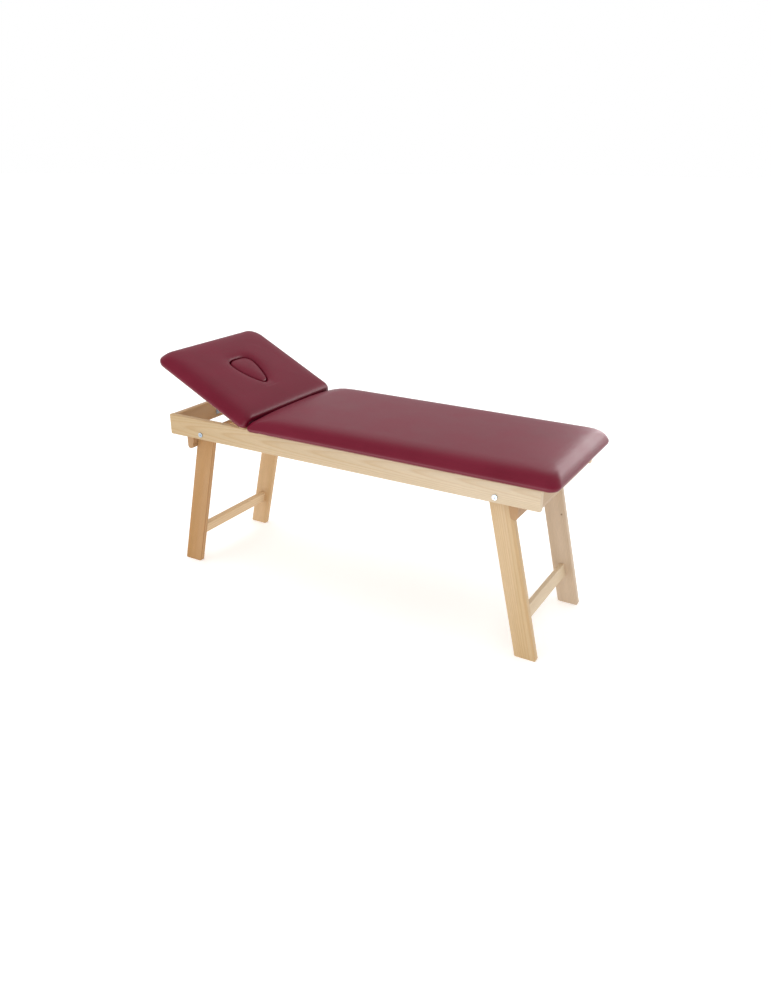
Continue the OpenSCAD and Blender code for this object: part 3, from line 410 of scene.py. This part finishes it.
def swell(piece, held, cap):
    """The cover under the foam's pressure: a cloth of these points, held where it is stapled, is
    blown out for 20 steps, and the shape that it takes is added, scaled so that its furthest
    point moves by the cap."""
    mesh = piece.data
    rest = np.empty(len(mesh.vertices) * 3)
    mesh.vertices.foreach_get("co", rest)
    group = piece.vertex_groups.new(name="stapled")
    group.add(np.nonzero(held)[0].tolist(), 1.0, "REPLACE")
    cloth = piece.modifiers.new("cover", "CLOTH")
    cloth.settings.quality = 6
    cloth.settings.mass = 0.4
    cloth.settings.tension_stiffness = cloth.settings.compression_stiffness = 40
    cloth.settings.bending_stiffness = 6
    cloth.settings.use_pressure = True
    cloth.settings.uniform_pressure_force = 4
    cloth.settings.vertex_group_mass = "stapled"
    cloth.settings.effector_weights.gravity = 0
    scene = bpy.context.scene
    for step in range(1, 21):
        scene.frame_set(step)
    blown = np.empty_like(rest)
    piece.evaluated_get(bpy.context.evaluated_depsgraph_get()).data.vertices.foreach_get("co", blown)
    piece.modifiers.remove(cloth)
    piece.vertex_groups.remove(group)
    scene.frame_set(1)
    move = (blown - rest).reshape(-1, 3)
    furthest = np.linalg.norm(move, axis=1).max()
    mesh.vertices.foreach_set("co", rest + move.ravel() * min(1, cap / furthest))
    mesh.update()


def covered(piece, fabric_finish):
    """The swollen cover's mesh, smoothed once, in its fabric."""
    smooth = piece.modifiers.new("smooth", "SUBSURF")
    smooth.levels = smooth.render_levels = 1
    piece.data.materials.append(fabric_finish)


def crown_up(far, hinge_run, x, y):
    """Height over the side's top: the crown times one less the 2.3th power of what is left of the
    way to the middle."""
    half = min(2 * pad_half, far - pad_end) / 2
    way = np.minimum(np.minimum(far - x, pad_half - np.abs(y)) - side_run, half - side_run)
    way = np.minimum(way / (half - side_run), (x - pad_end - hinge_run) / (half - hinge_run))
    return crown * (1 - (1 - np.clip(way, 0, 1)) ** 2.3)


# The foot end's distance from the hinge line, and the grid's cells along, across and in a corner.
far_x = 1.3767
along, across, bend, levels = 72, 22, 6, 22
# How far from the hinge the cover lies flat under the board and over what length its roll grows,
# how high it keeps clear there, the fabric's thickness, and its stand-off from the board.
lies_to, fades_in, clear, fabric, standoff = 0.075, 0.04, 0.0003, 0.0009, 0.0001
grid_x, grid_y = panel_grid(far_x, along, across, bend)
cells, rim = sheet_grid(*grid_x.shape, bend)
grid_z = thick + crown_up(far_x, hinge_run, grid_x, grid_y)
top = np.stack([grid_x, grid_y, grid_z], -1).reshape(-1, 3)
low = np.stack([grid_x, grid_y, np.full_like(grid_x, board_up)], -1).reshape(-1, 3)


def panel_rings(far, hinge_column, inner_hinge_r, along, across, bend):
    """The cover's rings from the top of the side down, round the rolled edge, under the board to
    the turned-in hem, and back round the board's edge to the underside of the foam. Corners grow
    rounder inwards over the widest level and sharper under it. The roll under the board and the
    hem fade out at the hinge end, where the board lies on its batten."""
    def ring(inset, near, up, near_r, far_r):
        """The outline drawn in, at one height."""
        flat = panel_outline(far, inset, near, near_r, far_r, along, across, bend)
        return np.column_stack([flat, np.full(len(flat), up)])

    def free(flat):
        """How far the roll has grown: a smooth step of the distance from the hinge."""
        share = np.clip((flat[:, :1] - lies_to) / fades_in, 0, 1)
        return share * share * (3 - 2 * share)

    rings = []
    for inset, up, near in list(zip(*side_curve(levels, hinge_column)))[::-1]:
        near_r, far_r = hinge_r - near, outer_r - inset
        if up >= widest:
            part = min(max(inset, 0) / side_run, 1)
            near_r = hinge_r + (inner_hinge_r - hinge_r) * part
            far_r = outer_r + (inner_r - outer_r) * part
        level = ring(inset, near, up, near_r, far_r)
        if up < 0:
            level[:, 2:] = up * free(level) + clear * (1 - free(level))
        rings.append(level)
    edge = ring(wrap, wrap, -standoff, hinge_r - wrap, outer_r - wrap)
    hem = ring(under, under, -standoff, hinge_r - under, outer_r - under)
    hem = edge + (hem - edge) * free(edge)
    turned = hem - np.array([0, 0, fabric]) * free(edge)
    rings += [turned, hem, edge, edge + (0, 0, board_up + standoff)]
    return rings


# The innermost ring is the flat field's own rim.
rings = panel_rings(far_x, 2, inner_r, along, across, bend)[1:]
points = np.vstack([top] + rings + [low])
quads = closed(cells, rim, len(top), len(rings))
# Up to what height the staples hold the cover tight, and how far the foam fills it out at most.
tight_to, fullness = 0.012, 0.0012
held = points[:, 2] < tight_to
held[-len(low):] = True
# Beside the hinge the two corners, stretched both ways, sink further than the edges between them:
# by a bell curve of the distances from the hinge and from the side, from the tight part upwards.
sink, sink_along, sink_across, sink_rise = 0.012, 0.09, 0.13, 0.03
from_side = pad_half - np.abs(points[:, 1])
sunk = sink * np.exp(-(points[:, 0] / sink_along) ** 2 - (from_side / sink_across) ** 2)
points[:, 2] -= sunk * np.clip((points[:, 2] - tight_to) / sink_rise, 0, 1)
points[:, 0] += hinge_x
points[:, 2] += board_z
long_cushion = surface("long_cushion_cover", points, quads)
swell(long_cushion, held, fullness)
covered(long_cushion, vinyl("vinyl_long"))
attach(long_cushion, "frame")
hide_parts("long_cushion")

# Head cushion: the same foam and cover on the tilting board, with an egg-shaped face hole. The
# cover dips towards the hole, rolls over its edge and is stapled to the board inside it.
face_at, face_l, face_w = 0.258, 0.187, 0.144
# How deep and over what distance the cover dips to the hole, how far out from it the roll begins,
# and the roll itself: how far out from the hole each level lies, and how far below the lip.
face_dip, dip_over, lip_out = 0.0085, 0.016, 0.0075
face_roll = ((0.0045, 0.0019), (0.0022, 0.0042), (0.0008, 0.007), (0.0002, 0.0105), (0.0, 0.02),
             (0.0, 0.03))


def face_egg(margin, angle):
    """Distance of the face hole's rim from its middle at each polar angle. The rim is the egg
    x = a cos t, y = b sin(t) to the 0.62th power times (1 + 0.426 cos t), where a is half the
    hole's length and b 0.9 times half its width, and both grow by the margin."""
    t = np.linspace(-math.pi, math.pi, 2881)
    s = np.sin(t)
    x = (face_l / 2 + margin) * np.cos(t)
    y = (face_w / 2 * 0.9 + margin) * np.sign(s) * np.abs(s) ** 0.62 * (1 + 0.426 * np.cos(t))
    polar = np.unwrap(np.arctan2(y, x))
    order = np.argsort(polar)
    return np.interp(angle, polar[order], np.hypot(x, y)[order], period=2 * math.pi)


# The head end's distance from the hinge line, how far in the cover slopes beside the hinge, the
# field's corner radius there, and the grid's cells along, across, in a corner and out from the hole.
head_far, head_run, head_inner_r = 0.5275, section[-1, 3], 0.035
head_along, head_across, head_bend, head_steps = 24, 30, 8, 18
rings = panel_rings(head_far, 3, head_inner_r, head_along, head_across, head_bend)
inner = rings[0]
spoke = inner[:, :2] - (face_at, 0)
reach = np.hypot(*spoke.T)[:, None]
angle = np.arctan2(spoke[:, 1], spoke[:, 0])
field = []
rim_r = (face_egg(0, angle) + lip_out)[:, None]
for share in np.linspace(0, 1, head_steps)[1:]:
    r = reach + (rim_r - reach) * (1 - (1 - share) ** 1.25)
    flat = (face_at, 0) + spoke / reach * r
    dip = face_dip * np.exp(-(r - rim_r)[:, 0] / dip_over)
    field.append(np.column_stack([flat, thick + crown_up(head_far, head_run, *flat.T) - dip]))
lip = field[-1][:, 2:]
roll = []
for out, down in face_roll:
    r = (face_egg(0, angle) + out)[:, None]
    roll.append(np.hstack([(face_at, 0) + spoke / reach * r, lip - down]))
inside = np.column_stack([roll[-1][:, :2], np.full(len(angle), board_up)])
loop = rings[::-1] + field + roll + [inside]
points = np.vstack(loop)
count = len(angle)
order = np.arange(len(points)).reshape(len(loop), count)
quads = np.vstack([ring_quads(one, two) for one, two in zip(order, np.roll(order, -1, 0))])
held = points[:, 2] < tight_to
held[:3 * count] = True
held[-3 * count:] = True


def raised(points):
    """Turns points drawn flat from the hinge line to where the head section stands: away from
    the hinge is towards -X, and the section is turned about Y by its tilt."""
    x, y, z = -points[:, 0], -points[:, 1], points[:, 2] - board_t
    return np.column_stack([hinge_x + x * math.cos(tilt) + z * math.sin(tilt), y,
                            hinge_z - x * math.sin(tilt) + z * math.cos(tilt)])


head_cushion = surface("head_cushion_cover", raised(points), quads)
swell(head_cushion, held, fullness)
covered(head_cushion, vinyl("vinyl_head", -tilt))
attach(head_cushion, "head_section")
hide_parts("head_cushion")

# Face plug: a domed cushion of the hole's own shape on a smaller board that rests in the head
# board, pushed in by hand. Its cover is rolled tight round the edge.
# Its grid is a square of cells bent into a disc: each point's direction and share of the way out.
disc = 20
k = np.linspace(-1, 1, disc + 1)
u, v = np.meshgrid(k, k, indexing="ij")
disc_x, disc_y = u * np.sqrt(1 - v ** 2 / 2), v * np.sqrt(1 - u ** 2 / 2)
ray = np.hypot(disc_x, disc_y)
angle = np.arctan2(disc_y, disc_x)
cells, rim = sheet_grid(disc + 1, disc + 1, 0)
# The height that the plug's sides are drawn from, how far below it the top's edge lies, how much
# higher the dome is than that edge, the gap round the plug, and how far in from the gap the top's
# edge and the underside's edge lie.
plug_top, plug_drop, plug_dome, plug_gap, top_in, low_in = 0.06, 0.003, 0.0075, 0.0012, 0.0118, 0.001
# Its rolled side: how far in from the gap each level lies, and how far below the height above.
plug_side = ((0.0088, 0.0046), (0.006, 0.0078), (0.0038, 0.0125), (0.0024, 0.019), (0.0016, 0.027),
             (0.0012, 0.038))


def plug_level(share, polar, drawn, up):
    """Points of the plug at one height, or at each its own: a share of the way from its middle to
    the egg of its rim, which is drawn in."""
    r = share * (face_egg(-plug_gap, polar) - drawn)
    return np.column_stack([face_at + r * np.cos(polar), r * np.sin(polar), np.full_like(r, up)])


polar, share = angle.ravel(), ray.ravel()
top = plug_level(share, polar, top_in, plug_top - plug_drop + plug_dome * (1 - share ** 2.4))
low = plug_level(share, polar, low_in, board_up + clear)
sides = [plug_level(1, polar[rim], drawn, plug_top - down) for drawn, down in plug_side]
points = np.vstack([top] + sides + [low])
quads = closed(cells, rim, len(top), len(sides))
# The plug is held tight to half its height and filled out a little less than the large cushions.
plug_tight_to, plug_fullness = 0.03, 0.001
held = points[:, 2] < plug_tight_to
plug = surface("plug_cover", raised(points), quads)
swell(plug, held, plug_fullness)
covered(plug, vinyl("vinyl_plug", -tilt))
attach(plug, "face_plug")
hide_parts("plug_cushion")

# The floor: plain pale paper lit a little from below, rolled out wide enough to reach the horizon
# in every view.
floor_half = 60.0
corners = np.array([(-1, -1, 0), (1, -1, 0), (1, 1, 0), (-1, 1, 0)]) * floor_half
floor = surface("floor", corners, np.array([[0, 1, 2, 3]]))
paper, tree, shader, where = fresh("pale_paper")
tint = blend(tree, noise(tree, where, 0.6, 2), (0.95, 0.95, 0.95), (0.97, 0.97, 0.97))
tree.links.new(tint, shader.inputs["Base Color"])
shader.inputs["Roughness"].default_value = 0.95
shader.inputs["Specular IOR Level"].default_value = 0.0
shader.inputs["Emission Color"].default_value = (1, 1, 1, 1)
shader.inputs["Emission Strength"].default_value = 0.28
floor.data.materials.append(paper)

# Soft studio light before a white backdrop: walls that darken towards the ceiling and in front,
# behind the camera, a wide diffuse light overhead, and two lights that only shine in the surfaces:
# a softbox behind the foot end, and a strip on the floor in front, seen in the cushions' lower roll.
world = bpy.data.worlds.new("studio")
bpy.context.scene.world = world
world.use_nodes = True
tree = world.node_tree
toward = fit(tree, "SeparateXYZ", {0: fit(tree, "TexCoord", {}).outputs["Generated"]}).outputs
# The walls' brightness at the sine of each height angle, behind the table and in front of it.
behind = ((0.16, 1.0), (0.24, 0.76), (0.85, 0.78), (1, 0.5))
before = ((0.14, 1.0), (0.22, 0.32), (0.8, 0.36), (1, 0.5))
sides = []
for levels in (behind, before):
    walls = fit(tree, "ValToRGB", {"Fac": toward["Z"]})
    walls.color_ramp.elements[0].color = (1, 1, 1, 1)
    for place, level in levels[:-1]:
        walls.color_ramp.elements.new(place).color = (level, level, level, 1)
    walls.color_ramp.elements[-1].color = (levels[-1][1],) * 3 + (1,)
    sides.append(walls.outputs["Color"])
front = spread(tree, toward["Y"], 0, 1, 0.25, -0.45)
backdrop = fit(tree, "LightPath", {}).outputs["Is Camera Ray"]
tree.links.new(blend(tree, backdrop, blend(tree, front, *sides), (1, 1, 1)),
               tree.nodes["Background"].inputs["Color"])


def lamp(name, kind, at, to, **settings):
    """A light of one kind at one point, turned to another."""
    light = bpy.data.lights.new(name, kind)
    for key, value in settings.items():
        setattr(light, key, value)
    stand = bpy.data.objects.new(name, light)
    stand.location = at
    x, y, z = np.array(to, float) - np.array(at, float)
    stand.rotation_euler = (math.atan2(math.hypot(x, y), -z), 0, math.atan2(-x, y))
    stand.visible_camera = False
    bpy.context.scene.collection.objects.link(stand)
    return stand


sky = lamp("overhead", "SUN", (-0.6, -1.0, 3), (0, 0, 0), energy=1.75, angle=math.radians(110))
sky.visible_glossy = False
box = lamp("softbox", "AREA", (1.45, 2.72, 1.66), (0.94, -0.1, 0.8), energy=60,
           shape="RECTANGLE", size=2.4, size_y=1.7)
glow = lamp("floor_light", "AREA", (0.1, -1.35, 0.03), (0.1, -1.35, 1), energy=25,
            shape="RECTANGLE", size=2.8, size_y=0.5)
box.visible_diffuse = glow.visible_diffuse = False

# The camera stands where the photograph was taken from, in front and to the foot end, and looks
# down on a point of the table's middle plane that lies so far past the hinge and so high.
view_turn, view_down, view_roll = (math.radians(a) for a in (30.07, 22.93, 0.17))
view_past, view_up, view_from, focal = 0.5006, 0.4094, 3.6712, 29.97
ahead = np.array([-math.sin(view_turn), math.cos(view_turn)])
side = np.array([math.cos(view_turn), math.sin(view_turn)])
target = np.array([hinge_x + view_past, 0, view_up])
c, s = math.cos(view_down), math.sin(view_down)
forward = np.array([ahead[0] * c, ahead[1] * c, -s])
right = np.array([side[0], side[1], 0])
up = np.cross(right, forward)
roll_c, roll_s = math.cos(view_roll), math.sin(view_roll)
x_axis, y_axis = roll_c * right + roll_s * up, -roll_s * right + roll_c * up
place = target - forward * view_from
lens = bpy.data.cameras.new("camera")
lens.lens, lens.sensor_width, lens.clip_end = focal, 36, 60
camera = bpy.data.objects.new("camera", lens)
matrix = np.eye(4)
matrix[:3, 0], matrix[:3, 1], matrix[:3, 2], matrix[:3, 3] = x_axis, y_axis, -forward, place
camera.matrix_world = Matrix(matrix.tolist())
bpy.context.scene.collection.objects.link(camera)
bpy.context.scene.camera = camera
bpy.context.scene.view_settings.view_transform = "Standard"
